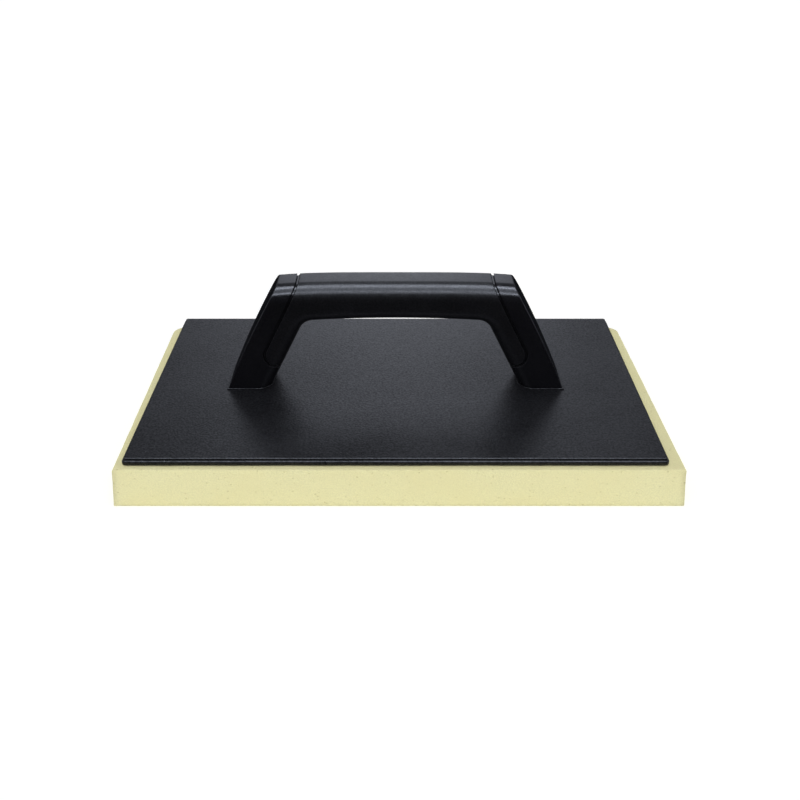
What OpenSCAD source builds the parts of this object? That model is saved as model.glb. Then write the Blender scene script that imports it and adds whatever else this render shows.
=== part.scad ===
// Grout float: a foam pad bonded under a moulded plate, with a closed two-legged handle.
// The handle is a hollow frame, open along its inner side, where a strip closes it.
// A soft cover wraps the grip and the upper legs, and a shallow groove runs round its edge.
// Axes: X along the float, Y from front to back, Z up.
// Origin: on the pad's working face, under the middle of the plate.

/* [Foam pad] */
// Length of the pad at its top face
pad_len = 315; // [304:1:420]
// Width of the pad, front to back
pad_wid = 180; // [150:1:260]
// Thickness of the pad
pad_thk = 24.5; // [15:0.5:40]
// How far each end leans out from top to bottom
pad_flare = 2.5; // [0.5:0.1:6]
// Skew of the two ends against the plate, in degrees
pad_skew = 0.6; // [0:0.1:2]
// Radius of the two back corners
pad_corner_r = 8.5; // [3:0.5:25]
// Sideways offset of the pad from the middle of the plate
pad_dx = 1; // [-3:0.1:3]
// Forward offset of the pad from the middle of the plate
pad_dy = 4.7; // [-8:0.1:8]

/* [Adhesive film] */
// Thickness of the adhesive film
film_thk = 0.5; // [0.2:0.1:1.5]
// Distance of the film from the plate's edge
film_margin = 5; // [3:0.5:20]

/* [Base plate] */
// Length of the plate's top face
plate_len = 300; // [240:1:400]
// Width of the plate's top face
plate_wid = 180; // [150:1:260]
// Thickness of the plate
plate_thk = 4; // [3.5:0.1:8]
// Width of the ledge round the plate's edge
ledge_wid = 1; // [0.4:0.1:3]
// Depth of the ledge under the top face
ledge_drop = 1.5; // [0.5:0.1:2.5]
// Corner radius of the plate's top face
plate_corner_r = 1.2; // [0.5:0.1:10]
// Height of the seat under each foot
seat_h = 0.8; // [0.4:0.1:2]
// Width of seat that shows round each foot
seat_margin = 0.7; // [0.3:0.1:3]

/* [Handle] */
// Distance over the outer edges of the two feet
foot_span = 208; // [170:1:230]
// Lean of the legs from upright, in degrees
leg_lean = 26.7; // [15:0.1:32]
// Thickness of a leg, square to its length, without the bow
leg_thk = 23.8; // [19:0.1:28]
// Outward bow of a leg's outer face, half way up
leg_bow = 1.4; // [0.2:0.1:4]
// Depth of the handle, front to back
handle_depth = 31.5; // [28:0.5:42]
// Backward offset of the handle from the middle of the plate
handle_dy = 2.8; // [-8:0.1:8]
// Height of the hand gap at its two upper corners
hand_gap = 44.2; // [38:0.1:70]
// Rise of the grip's arched underside, from its ends to its middle
arch_rise = 1.4; // [0.5:0.1:4]
// Height of the grip's section, in the middle
grip_h = 22.8; // [20:0.1:32]
// Drop of the grip's crowned top, from its middle to its ends
crown_drop = 1.5; // [0.4:0.1:4]
// Radius in the corner between leg and grip
knee_r = 10; // [6:0.5:20]
// Number of flats round the corner between leg and grip
knee_flats = 6; // [3:1:12]
// Radius of the edges that the fingers close round
inner_edge_r = 9; // [6:0.5:12]
// Radius of the edges along the top of the grip
top_edge_r = 10.5; // [6:0.5:12]
// Wall of the handle frame
wall = 2.6; // [2:0.1:3.5]
// Thickness of the ribs in the handle frame
rib_thk = 2; // [1.5:0.1:4]
// Number of ribs across the grip
grip_ribs = 4; // [2:1:6]
// Distance of the outer ribs from the centres of the knees, lengthwise
rib_end = 9.2; // [4:0.1:16]

/* [Closing strip] */
// Width of the closing strip
strip_wid = 18; // [12:0.5:20]
// Gap between the strip and its slot
strip_clr = 0.1; // [0.05:0.05:0.4]
// Distance of the strip's ends from the ends of the grip cover
strip_setback = 3; // [2:0.5:8]

/* [Grip cover] */
// Thickness of the soft cover
cover_thk = 1.6; // [1:0.1:2.5]
// Width of the groove round the cover
groove_wid = 1.8; // [1:0.1:3]
// Middle of the groove from the inner face of the leg
groove_in = 13.4; // [7:0.1:14]
// Middle of the groove from the plate, measured up the inner face of the leg
groove_start = 15.3; // [12:0.1:26]
// Radius of the groove's lower corner
groove_corner_r = 8; // [5:0.5:9]
// Middle of the groove on top of the grip, from the grip's end
groove_end = 12.1; // [7:0.1:15]

/* [Screws] */
// Outer diameter of a screw's thread
screw_d = 4.2; // [3.5:0.1:5]
// Overall length of a screw
screw_len = 16; // [12:0.5:20]
// Diameter of a countersunk screw head
screw_head_d = 8; // [7:0.1:9]
// Depth of the cross recess in a screw head
recess_depth = 1.2; // [0.6:0.1:1.6]
// Gap between a screw and the moulded bores
screw_clr = 0.05; // [0.03:0.01:0.1]
// Diameter of a screw boss in a foot
boss_d = 9; // [8:0.1:10]
// Distance of the screws from the middle of the foot, towards the grip
screw_in = 5.35; // [4:0.05:7]
// Distance of the screws from the middle of the handle, crosswise
screw_y = 6.5; // [6:0.1:7.5]
// Plastic left over the tip of each screw
tip_cover = 2; // [1.5:0.5:4]

/* [Hidden] */
$fn = 96;

// Levels
film_z = pad_thk;
plate_z = film_z + film_thk;
top_z = plate_z + plate_thk;

// Handle layout, in the XZ plane with the plate's top face at Z = 0
half_depth = handle_depth / 2;
foot_x = foot_span / 2;
inner_x = foot_x - leg_thk / cos(leg_lean);
grip_top = hand_gap + arch_rise + grip_h;
grip_half = foot_x - grip_top * tan(leg_lean);
above = grip_top + grip_h;
below = -plate_thk;
gap_low = -hand_gap / 2;
crown_steps = 5;
bow_steps = 6;
crown_reach = 1.2;
arch_steps = 4;

// Centre of the knee: knee_r from the leg's inner face and from the grip's underside
knee_z = hand_gap - knee_r;
knee_x = inner_x - knee_z * tan(leg_lean) - knee_r / cos(leg_lean);

// The height on the centre line that is as far from the grip's underside as from both legs
spread_z = (inner_x * cos(leg_lean) - hand_gap) / (sin(leg_lean) - 1);
spread_r = hand_gap - spread_z;

// A rounded inner edge is four flats, each cut from a little behind where it starts
edge_turn = 90 / 4;
edge_back = 2;

cavity_inset = cover_thk + wall;
cut_lap = 0.02;
strip_in = cavity_inset + cut_lap;
rib_pitch = 2 * (knee_x - rib_end) / (grip_ribs - 1);
groove_top_x = grip_half - groove_end;
screw_x = (foot_x + inner_x) / 2 - screw_in;
screw_seat_z = plate_z;
screw_tip_z = screw_seat_z + screw_len;
boss_top = screw_tip_z - top_z + tip_cover;
head_h = (screw_head_d - screw_d) / 2;

PAD_COLOR = "#e3e0b0";
FILM_COLOR = "#c9b487";
PLATE_COLOR = "#3a3b40";
FRAME_COLOR = "#1b1b1f";
STRIP_COLOR = "#26262b";
COVER_COLOR = "#2a2b30";
SCREW_COLOR = "#b9bcc2";

// Extrudes a shape drawn in the XZ plane from front to back, centred on the handle
module front_to_back(depth) {
    rotate([90, 0, 0]) translate([0, 0, -depth / 2]) linear_extrude(height = depth) children();
}

// Half the length of the handle at height z: a leaning line with a bow
function end_x(z) = foot_x - z * tan(leg_lean) + 4 * leg_bow * z / grip_top * (1 - z / grip_top);

// The handle's outer outline: two leaning, bowed ends under a crowned top
module outer_outline(inset, end_inset, z0) {
    shift = end_inset / cos(leg_lean);
    levels = [
        z0,
        for (i = [1 : bow_steps]) grip_top * i / bow_steps,
        above
    ];
    intersection() {
        polygon([
            for (z = levels) [end_x(z) - shift, z],
            for (i = [len(levels) - 1 : -1 : 0]) [shift - end_x(levels[i]), levels[i]]
        ]);
        polygon([
            [-foot_span, -above],
            [foot_span, -above],
            for (i = [crown_steps : -1 : -crown_steps])
                let (out = crown_reach * i / crown_steps)
                    [out * grip_half, grip_top - inset - crown_drop * pow(out, 4)]
        ]);
    }
}

// The hand gap, moved out by inset: between the legs and under the grip
module hand_gap_outline(inset) {
    foot = inner_x + inset / cos(leg_lean) - gap_low * tan(leg_lean);
    r = knee_r + inset;
    turns = [for (k = [0 : knee_flats]) leg_lean + (90 - leg_lean) * k / knee_flats];
    polygon([
        [-foot, gap_low],
        [foot, gap_low],
        for (turn = turns) [knee_x + r * cos(turn), knee_z + r * sin(turn)],
        for (i = [arch_steps - 1 : -1 : 1 - arch_steps])
            let (out = i / arch_steps) [out * knee_x, knee_z + r + arch_rise * (1 - pow(out, 2))],
        for (k = [knee_flats : -1 : 0]) [-knee_x - r * cos(turns[k]), knee_z + r * sin(turns[k])]
    ]);
}

// The handle seen from its end, with the edges along its top rounded
module end_view(inset) {
    r = top_edge_r - inset;
    half = half_depth - inset;
    top = grip_top - inset + crown_drop / 4;
    rotate([90, 0, 90])
        translate([0, 0, -foot_span])
            linear_extrude(height = 2 * foot_span) {
                translate([-half, -grip_h]) square([2 * half, grip_h + top - r]);
                translate([r - half, -grip_h]) square([2 * (half - r), grip_h + top]);
                for (side = [-1, 1]) translate([side * (half - r), top - r]) circle(r);
            }
}

// Cuts flat number n of the rounded edge round the hand gap, from the front.
// The gap's outline grows evenly round the point at spread_z as the cut comes forward.
module edge_flat(inset, n) {
    turn = edge_turn * (n + 1 / 2);
    r = inner_edge_r - inset;
    flat_r = r * cos(edge_turn / 2);
    near = spread_r + inset;
    mid_in = r - flat_r * cos(turn);
    mid_y = half_depth - inset - r + flat_r * sin(turn);
    back_size = 1 + (mid_in - edge_back * tan(turn)) / near;
    front_size = 1 + (mid_in + inner_edge_r * tan(turn)) / near;
    translate([0, 0, spread_z])
        rotate([90, 0, 0])
            translate([0, 0, mid_y - edge_back])
                linear_extrude(height = edge_back + inner_edge_r, scale = front_size / back_size)
                    scale(back_size) translate([0, -spread_z]) hand_gap_outline(inset);
}

// Front and back
module both_faces() {
    for (side = [0, 1]) mirror([0, side, 0]) children();
}

// The handle's outer form above z0, brought in by inset, with its ends brought in by end_inset
module handle_form(inset, end_inset, z0) {
    difference() {
        intersection() {
            front_to_back(2 * handle_depth)
                difference() {
                    outer_outline(inset, end_inset, z0);
                    hand_gap_outline(inset);
                }
            end_view(inset);
        }
        both_faces() edge_flat(inset, 0);
        both_faces() edge_flat(inset, 1);
        both_faces() edge_flat(inset, 2);
        both_faces() edge_flat(inset, 3);
    }
}

// Everything inside the line of the groove, moved out by grow
module inside_groove(grow) {
    r = groove_corner_r + grow;
    in_x = groove_in + grow;
    low = groove_start - grow;
    top_x = groove_top_x + grow;
    out_x = -2 * grip_h;
    front_to_back(2 * handle_depth) {
        for (side = [0, 1]) mirror([side, 0]) translate([inner_x, 0]) rotate(leg_lean) {
            translate([out_x, low]) square([in_x - out_x - r, above - low]);
            translate([out_x, low + r]) square([in_x - out_x, above - low - r]);
            translate([in_x - r, low + r]) circle(r);
        }
        translate([-top_x, knee_z]) square([2 * top_x, above - knee_z]);
    }
}

// The slot along the inner side of the handle, from s0 up one leg to s0 up the other
module strip_slot(wid, s0) {
    cut_x = inner_x - s0 * sin(leg_lean);
    cut_z = s0 * cos(leg_lean);
    rise = (foot_x - cut_x) * tan(leg_lean);
    front_to_back(wid)
        intersection() {
            hand_gap_outline(strip_in);
            polygon([
                [0, cut_z - cut_x * tan(leg_lean)],
                [foot_x, cut_z + rise], [foot_x, above],
                [-foot_x, above], [-foot_x, cut_z + rise]
            ]);
        }
}

// One of something at each screw
module at_screws() {
    for (x = [-screw_x, screw_x], y = [-screw_y, screw_y]) translate([x, y, 0]) children();
}

// Bosses, their webs and the ribs across the grip, before they are cut to the hollow
module stiffeners() {
    at_screws() translate([0, 0, seat_h]) cylinder(d = boss_d, h = boss_top - seat_h);
    for (y = [-screw_y, screw_y])
        translate([-foot_x, y - rib_thk / 2, seat_h]) cube([foot_span, rib_thk, boss_top - seat_h]);
    for (i = [0 : grip_ribs - 1])
        translate([(i - (grip_ribs - 1) / 2) * rib_pitch - rib_thk / 2, -half_depth, hand_gap - knee_r])
            cube([rib_thk, handle_depth, 2 * grip_h]);
}

module foam_pad() {
    lean = atan(pad_flare / pad_thk);
    color(PAD_COLOR)
        translate([pad_dx, -pad_dy, 0])
            difference() {
                intersection() {
                    rotate([0, 0, pad_skew])
                        rotate([90, 0, 0])
                            translate([0, 0, -pad_wid])
                                linear_extrude(height = 2 * pad_wid)
                                    polygon([
                                        [-pad_len / 2 - pad_flare, 0],
                                        [pad_len / 2 + pad_flare, 0],
                                        [pad_len / 2, pad_thk],
                                        [-pad_len / 2, pad_thk]
                                    ]);
                    translate([-pad_len, -pad_wid / 2, 0]) cube([2 * pad_len, pad_wid, pad_thk]);
                }
                for (side = [-1, 1]) back_corner_cut(side, lean);
            }
}

// Cuts one back corner of the pad to a radius that leans with the end
module back_corner_cut(side, lean) {
    back = pad_wid / 2;
    end_x = side * pad_len / 2 / cos(pad_skew) - back * tan(pad_skew);
    translate([end_x, back, pad_thk])
        rotate([0, -side * lean, 0])
            translate([-side * pad_corner_r, -pad_corner_r, -2 * pad_thk])
                linear_extrude(height = 3 * pad_thk)
                    difference() {
                        translate([side > 0 ? 0 : -2 * pad_corner_r, 0]) square(2 * pad_corner_r);
                        circle(pad_corner_r);
                    }
}

module adhesive_film() {
    left = max(-plate_len / 2, pad_dx - pad_len / 2) + film_margin;
    right = min(plate_len / 2, pad_dx + pad_len / 2) - film_margin;
    front = max(-plate_wid / 2, -pad_dy - pad_wid / 2) + film_margin;
    back = min(plate_wid / 2, pad_wid / 2 - pad_dy) - film_margin;
    color(FILM_COLOR)
        translate([left, front, film_z]) cube([right - left, back - front, film_thk]);
}

// A flat tile with rounded corners
module tile(len, wid, r, thk) {
    translate([r - len / 2, -wid / 2, 0]) cube([len - 2 * r, wid, thk]);
    translate([-len / 2, r - wid / 2, 0]) cube([len, wid - 2 * r, thk]);
    for (x = [-1, 1], y = [-1, 1])
        translate([x * (len / 2 - r), y * (wid / 2 - r), 0]) cylinder(r = r, h = thk);
}

// The low seat under both feet, with the feet's own outline and a margin
module seats() {
    intersection() {
        handle_form(-seat_margin, -seat_margin, below / 2);
        translate([-foot_span, -handle_depth, below / 4])
            cube([2 * foot_span, 2 * handle_depth, seat_h - below / 4]);
    }
}

module base_plate() {
    bore_d = screw_d + 2 * screw_clr;
    color(PLATE_COLOR)
        difference() {
            union() {
                translate([0, 0, plate_z])
                    tile(plate_len + 2 * ledge_wid, plate_wid + 2 * ledge_wid,
                         plate_corner_r + ledge_wid, plate_thk - ledge_drop);
                translate([0, 0, plate_z]) tile(plate_len, plate_wid, plate_corner_r, plate_thk);
                translate([0, handle_dy, top_z]) seats();
            }
            translate([0, handle_dy, 0]) at_screws() {
                translate([0, 0, plate_z - 1]) cylinder(d = bore_d, h = plate_thk + seat_h + 2);
                translate([0, 0, plate_z - screw_clr])
                    cylinder(d1 = screw_head_d + 2 * screw_clr, d2 = screw_d, h = head_h + screw_clr);
            }
        }
}

module handle_frame() {
    color(FRAME_COLOR)
        translate([0, handle_dy, top_z])
            difference() {
                handle_form(0, 0, seat_h);
                difference() {
                    inside_groove(groove_wid / 2);
                    handle_form(cover_thk, 0, seat_h);
                }
                difference() {
                    handle_form(cavity_inset, wall, below);
                    stiffeners();
                }
                strip_slot(strip_wid, groove_start + strip_setback);
                at_screws() cylinder(d = screw_d + 2 * screw_clr, h = boss_top - tip_cover + screw_clr);
            }
}

module closing_strip() {
    color(STRIP_COLOR)
        translate([0, handle_dy, top_z])
            intersection() {
                handle_form(cover_thk, 0, seat_h);
                strip_slot(strip_wid - 2 * strip_clr, groove_start + strip_setback + strip_clr);
            }
}

module grip_cover() {
    color(COVER_COLOR)
        translate([0, handle_dy, top_z])
            difference() {
                intersection() {
                    handle_form(0, 0, seat_h);
                    inside_groove(-groove_wid / 2);
                }
                handle_form(cover_thk, 0, seat_h);
            }
}

// One countersunk screw, head down, with a cross recess
module screw() {
    tip_h = screw_d / 2;
    difference() {
        union() {
            cylinder(d1 = screw_head_d, d2 = screw_d, h = head_h);
            cylinder(d = screw_d, h = screw_len - tip_h);
            translate([0, 0, screw_len - tip_h]) cylinder(d1 = screw_d, d2 = screw_d / 3, h = tip_h);
        }
        for (turn = [0, 90])
            rotate([0, 0, turn])
                translate([-screw_d / 2, -screw_d / 8, -1]) cube([screw_d, screw_d / 4, 1 + recess_depth]);
    }
}

module handle_screws() {
    color(SCREW_COLOR) translate([0, handle_dy, screw_seat_z]) at_screws() screw();
}

foam_pad();
adhesive_film();
base_plate();
handle_frame();
closing_strip();
grip_cover();
handle_screws();
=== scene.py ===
"""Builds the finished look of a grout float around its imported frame: foam pad, plate, handle and stage."""

import math

import bmesh
import bpy
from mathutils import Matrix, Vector


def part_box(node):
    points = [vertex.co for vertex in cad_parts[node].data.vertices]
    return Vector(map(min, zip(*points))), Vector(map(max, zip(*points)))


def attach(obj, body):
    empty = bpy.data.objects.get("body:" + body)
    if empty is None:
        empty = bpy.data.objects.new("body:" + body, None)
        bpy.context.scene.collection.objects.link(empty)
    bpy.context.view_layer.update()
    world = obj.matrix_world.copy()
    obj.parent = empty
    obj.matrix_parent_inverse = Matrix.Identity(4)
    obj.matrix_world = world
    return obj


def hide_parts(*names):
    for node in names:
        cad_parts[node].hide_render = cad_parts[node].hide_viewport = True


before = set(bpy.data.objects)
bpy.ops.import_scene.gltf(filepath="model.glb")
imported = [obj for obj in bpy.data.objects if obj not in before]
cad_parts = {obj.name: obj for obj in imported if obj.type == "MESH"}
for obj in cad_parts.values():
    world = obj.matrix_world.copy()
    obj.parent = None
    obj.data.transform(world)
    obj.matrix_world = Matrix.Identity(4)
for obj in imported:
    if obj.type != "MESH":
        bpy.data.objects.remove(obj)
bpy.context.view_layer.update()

bl_info = {
    "name": "Grout Float",
    "version": (1, 0, 0),
    "blender": (4, 5, 0),
    "location": "View3D > Sidebar > Grout Float",
    "description": "Builds the pieces of a foam grout float and a plain studio round it",
    "category": "Object",
}

PAD_LOW, PAD_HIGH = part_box("foam_pad")
PLATE_LOW, PLATE_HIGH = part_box("base_plate")
GRIP_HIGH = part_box("grip_cover")[1]
FRAME_LOW, FRAME_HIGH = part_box("handle_frame")
SCREW_LOW, SCREW_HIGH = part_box("handle_screws")
BODY = "root"
MM = 0.001
SEAT_RISE = 0.8 * MM
PLATE_TOP = PLATE_HIGH.z - SEAT_RISE


def length(name, description, default, low=0.0, high=1.0):
    """A length in metres, for the panel."""
    return bpy.props.FloatProperty(
        name=name,
        description=description,
        default=default,
        min=low,
        max=high,
        precision=5,
        subtype="DISTANCE",
        unit="LENGTH",
    )


def angle(name, description, degrees):
    """An angle, for the panel."""
    return bpy.props.FloatProperty(
        name=name,
        description=description,
        default=math.radians(degrees),
        subtype="ANGLE",
        unit="ROTATION",
    )


def amount(name, description, default, low=0.0, high=1.0):
    """A plain number, for the panel."""
    return bpy.props.FloatProperty(name=name, description=description, default=default, min=low, max=high)


def tint(name, description, red, green, blue):
    """A colour, for the panel."""
    return bpy.props.FloatVectorProperty(
        name=name,
        description=description,
        default=(red, green, blue, 1.0),
        size=4,
        min=0.0,
        max=1.0,
        subtype="COLOR",
    )


class FLOAT_PG_pad(bpy.types.PropertyGroup):
    """Sizes and colours of the foam pad."""

    flare: length("End flare", "How far each end leans out from top to bottom", 2.5 * MM)
    skew: angle("End skew", "Turn of the two ends against the plate", 0.6)
    corner: length("Back corner", "Radius of the two back corners", 8.5 * MM)
    soft_edge: length("Edge softness", "Radius of the cut edge round the top", 0.8 * MM)
    cell: length("Surface cell", "Size of the unevenness left by the foam saw", 9 * MM)
    depth: length("Surface depth", "Height of the unevenness left by the foam saw", 0.22 * MM)
    colour: tint("Foam colour", "Colour of the foam", 0.815, 0.780, 0.460)
    # Painted shade: the darker colour painted down in the pores.
    pore_shade_colour: tint("Pore colour", "Colour down in the pores", 0.60, 0.55, 0.27)


class FLOAT_PG_plate(bpy.types.PropertyGroup):
    """Sizes and colours of the base plate and of the adhesive film under it."""

    ledge: length("Ledge width", "Width of the ledge round the plate's edge", 1.0 * MM)
    ledge_drop: length("Ledge depth", "Depth of the ledge under the top face", 1.5 * MM)
    corner: length("Corner radius", "Corner radius of the plate's top face", 1.2 * MM)
    rim_round: length("Rim rounding", "Radius along the rim's upper edges", 0.8 * MM)
    seat_margin: length("Seat margin", "Width of seat that shows round each foot", 0.7 * MM)
    pin_inset: length("Pin mark inset", "Distance of the pin marks from the plate's edges", 11 * MM)
    pin_ring: length("Pin mark diameter", "Diameter of the moulding pin marks", 8 * MM)
    colour: tint("Plate colour", "Colour of the moulded plate", 0.0058, 0.0060, 0.0074)
    film_colour: tint("Film colour", "Colour of the dried adhesive", 0.58, 0.45, 0.24)


class FLOAT_PG_handle(bpy.types.PropertyGroup):
    """Sizes and colours of the handle."""

    lean: angle("Leg lean", "Lean of the legs from upright", 26.7)
    leg: length("Leg thickness", "Thickness of a leg, square to its length, without the bow", 23.8 * MM)
    bow: length("Leg bow", "Outward bow of a leg's outer face, half way up", 1.4 * MM)
    hand_gap: length("Hand gap", "Height of the hand gap at its two upper corners", 44.2 * MM)
    arch: length("Arch", "Rise of the grip's underside, from its ends to its middle", 1.4 * MM)
    crown: length("Crown", "Drop of the grip's top, from its middle to its ends", 1.5 * MM)
    knee: length("Knee radius", "Radius in the corner between leg and grip", 10 * MM)
    rounding: length("Edge rounding", "Radius of the edges round the hand gap", 9 * MM)
    top_rounding: length("Top rounding", "Radius of the edges along the top of the grip", 10.5 * MM)
    end_round: length("End rounding", "Radius along the outer edges of the legs", 0.6 * MM)
    tip_round: length("Tip rounding", "Radius at the two ends of the grip's top", 1.4 * MM)
    cover: length("Cover thickness", "Thickness of the soft cover", 1.6 * MM)
    wall: length("Wall", "Wall of the handle frame", 2.6 * MM)
    rib: length("Rib thickness", "Thickness of the ribs in the handle frame", 2.0 * MM)
    rib_end: length("Rib end", "Distance of the outer ribs from the knees", 9.2 * MM)
    groove: length("Groove width", "Width of the groove round the cover", 1.8 * MM)
    groove_depth: length("Groove depth", "Depth of the groove round the cover", 1.15 * MM)
    groove_in: length("Groove inset", "Middle of the groove from the leg's inner face", 13.4 * MM)
    groove_start: length("Groove start", "Middle of the groove up the leg's inner face", 15.3 * MM)
    groove_corner: length("Groove corner", "Radius of the groove's lower corner", 8 * MM)
    groove_end: length("Groove end", "Middle of the groove from the grip's end", 12.1 * MM)
    strip: length("Strip width", "Width of the closing strip", 17.8 * MM)
    strip_gap: length("Strip gap", "Gap between the strip and its slot", 0.1 * MM)
    strip_setback: length("Strip setback", "Distance of the strip's ends from the cover's", 3 * MM)
    frame_colour: tint("Frame colour", "Colour of the handle frame", 0.0042, 0.0042, 0.0056)
    cover_colour: tint("Cover colour", "Colour of the soft cover", 0.0044, 0.0044, 0.0058)


class FLOAT_PG_screws(bpy.types.PropertyGroup):
    """Sizes and colour of the handle screws."""

    thread: length("Thread diameter", "Outer diameter of the thread", 4.2 * MM)
    core: length("Core diameter", "Diameter at the root of the thread", 3.0 * MM)
    pitch: length("Thread pitch", "Distance from one turn of the thread to the next", 1.8 * MM)
    head: length("Head diameter", "Diameter of the countersunk head", 8 * MM)
    recess: length("Recess depth", "Depth of the cross recess", 1.2 * MM)
    bore_gap: length("Bore gap", "Gap between a screw and its bore", 0.05 * MM)
    boss: length("Boss diameter", "Diameter of the boss round each screw", 9 * MM)
    tip_cover: length("Tip cover", "Plastic left over the tip of each screw", 2 * MM)
    colour: tint("Screw colour", "Colour of the zinc plating", 0.62, 0.62, 0.64)


class FLOAT_PG_stage(bpy.types.PropertyGroup):
    """Camera, floor and light."""

    camera_back: length("Camera distance", "Distance of the camera in front of the plate", 512.1 * MM)
    camera_up: length("Camera height", "Height of the camera above the floor", 312.9 * MM)
    pitch: angle("Camera pitch", "How far the camera looks down", 30.3)
    lens: amount("Lens", "Focal length in millimetres", 41.58, 10.0, 200.0)
    slide: amount("Sideways shift", "Shift of the picture to the side", 0.0056, -0.1, 0.1)
    top_light: amount("Top light", "Power of the softbox overhead, in watts", 12.0, 0.0, 500.0)
    front_light: amount("Front light", "Power of the softbox in front, in watts", 6.0, 0.0, 500.0)
    between_light: amount("Diffuser", "Power of the diffuser between them, in watts", 6.0, 0.0, 500.0)
    even_light: amount("Even light", "Strength of the even light from above the front", 1.36, 0.0, 20.0)
    back_glow: amount("Back glow", "Brightness of the wall behind, in reflections", 1.38, 0.0, 20.0)
    side_glow: amount("Side glow", "Brightness of the walls to the sides, in reflections", 1.4, 0.0, 20.0)
    fill: amount("Fill", "Brightness of the room", 0.50, 0.0, 20.0)
    floor_colour: tint("Floor colour", "Colour of the floor", 0.95, 0.95, 0.95)
    floor_glow: amount("Floor glow", "Light given off by the floor", 0.20, 0.0, 20.0)


# Meshes


def made_object(name, mesh):
    """Links a mesh into the scene as an object at the origin."""
    piece = bpy.data.objects.new(name, mesh)
    bpy.context.scene.collection.objects.link(piece)
    return piece


def lofted(name, rings):
    """A closed shell through rings of equal length, with both ends capped."""
    shape = bmesh.new()
    rows = [[shape.verts.new(point) for point in ring] for ring in rings]
    count = len(rows[0])
    for low, high in zip(rows, rows[1:]):
        for i in range(count):
            j = (i + 1) % count
            shape.faces.new((low[i], low[j], high[j], high[i]))
    shape.faces.new(rows[0])
    shape.faces.new(rows[-1])
    bmesh.ops.recalc_face_normals(shape, faces=shape.faces)
    mesh = bpy.data.meshes.new(name)
    shape.to_mesh(mesh)
    shape.free()
    return made_object(name, mesh)


def prism(name, outline, middle, half_depth, lift):
    """A side outline in X and Z, drawn out to both sides of a middle plane."""
    sides = (middle - half_depth, middle + half_depth)
    return lofted(name, [[Vector((x, y, z + lift)) for x, z in outline] for y in sides])


def block(low, high):
    """A box between two corners."""
    xs, ys = (low[0], high[0]), (low[1], high[1])
    flat = [(xs[0], ys[0]), (xs[1], ys[0]), (xs[1], ys[1]), (xs[0], ys[1])]
    return lofted("block", [[Vector((x, y, z)) for x, y in flat] for z in (low[2], high[2])])


def turned(name, profile, steps, place=(0, 0)):
    """A closed shell turned round an upright axis from pairs of radius and height."""
    rings = []
    for radius, height in profile:
        turns = [2 * math.pi * i / steps for i in range(steps)]
        rings.append(
            [
                Vector((place[0] + radius * math.cos(t), place[1] + radius * math.sin(t), height))
                for t in turns
            ]
        )
    return lofted(name, rings)


def settle(piece):
    """Applies a piece's modifiers to its mesh."""
    graph = bpy.context.evaluated_depsgraph_get()
    mesh = bpy.data.meshes.new_from_object(piece.evaluated_get(graph))
    old = piece.data
    piece.modifiers.clear()
    piece.data = mesh
    bpy.data.meshes.remove(old)
    return piece


def discard(piece):
    """Removes a shape that was only used to cut with."""
    mesh = piece.data
    bpy.data.objects.remove(piece)
    bpy.data.meshes.remove(mesh)


def combine(piece, tool, operation):
    """Cuts a piece with a tool, joins them or keeps what they share, and removes the tool."""
    step = piece.modifiers.new("combine", "BOOLEAN")
    step.operation = operation
    step.solver = "EXACT"
    step.object = tool
    settle(piece)
    discard(tool)
    if not piece.data.polygons:
        raise RuntimeError(f"{piece.name}: nothing is left after {operation}")
    return piece


def smooth(piece, crease=32.0):
    """Cleans a mesh, shades it smooth up to its creases and keeps its flat faces flat."""
    shape = bmesh.new()
    shape.from_mesh(piece.data)
    bmesh.ops.remove_doubles(shape, verts=shape.verts, dist=0.004 * MM)
    bmesh.ops.dissolve_degenerate(shape, edges=shape.edges, dist=0.002 * MM)
    shape.to_mesh(piece.data)
    shape.free()
    piece.data.shade_smooth()
    piece.data.set_sharp_from_angle(angle=math.radians(crease))
    step = piece.modifiers.new("flat faces", "WEIGHTED_NORMAL")
    step.keep_sharp = True
    step.weight = 80
    return settle(piece)


def finish_piece(piece, material, slot, *nodes):
    """Gives a piece its material and its body, and hides the nodes that it stands for; the slot argument is
    not used.
    """
    piece.data.materials.clear()
    piece.data.materials.append(material)
    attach(piece, BODY)
    if nodes:
        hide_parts(*nodes)
    return piece


# Node trees


def put(tree, kind, settings=None, inputs=None):
    """Adds a node, sets it up, and feeds its inputs from values or from other nodes' outputs."""
    item = tree.nodes.new(kind)
    for key, value in (settings or {}).items():
        setattr(item, key, value)
    for key, value in (inputs or {}).items():
        if isinstance(value, bpy.types.NodeSocket):
            tree.links.new(value, item.inputs[key])
        else:
            item.inputs[key].default_value = value
    return item


def maths(tree, operation, *values):
    """Adds a Math node and returns its output."""
    return put(tree, "ShaderNodeMath", {"operation": operation}, dict(enumerate(values))).outputs[0]


def new_tree(name, **sockets):
    """A new geometry tree that takes a mesh and the named inputs, and those inputs."""
    tree = bpy.data.node_groups.new(name, "GeometryNodeTree")
    face = tree.interface
    face.new_socket("Geometry", in_out="INPUT", socket_type="NodeSocketGeometry")
    for label, kind in sockets.items():
        face.new_socket(label, in_out="INPUT", socket_type=f"NodeSocket{kind}")
    face.new_socket("Geometry", in_out="OUTPUT", socket_type="NodeSocketGeometry")
    return tree, put(tree, "NodeGroupInput").outputs


def close_tree(tree, shape, material):
    """Ends a geometry tree: makes its copies real and gives them their material."""
    real = put(tree, "GeometryNodeRealizeInstances", None, {0: shape})
    ends = {"Geometry": real.outputs[0], "Material": material}
    done = put(tree, "GeometryNodeSetMaterial", None, ends)
    tree.links.new(done.outputs[0], put(tree, "NodeGroupOutput").inputs[0])
    return tree


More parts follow.
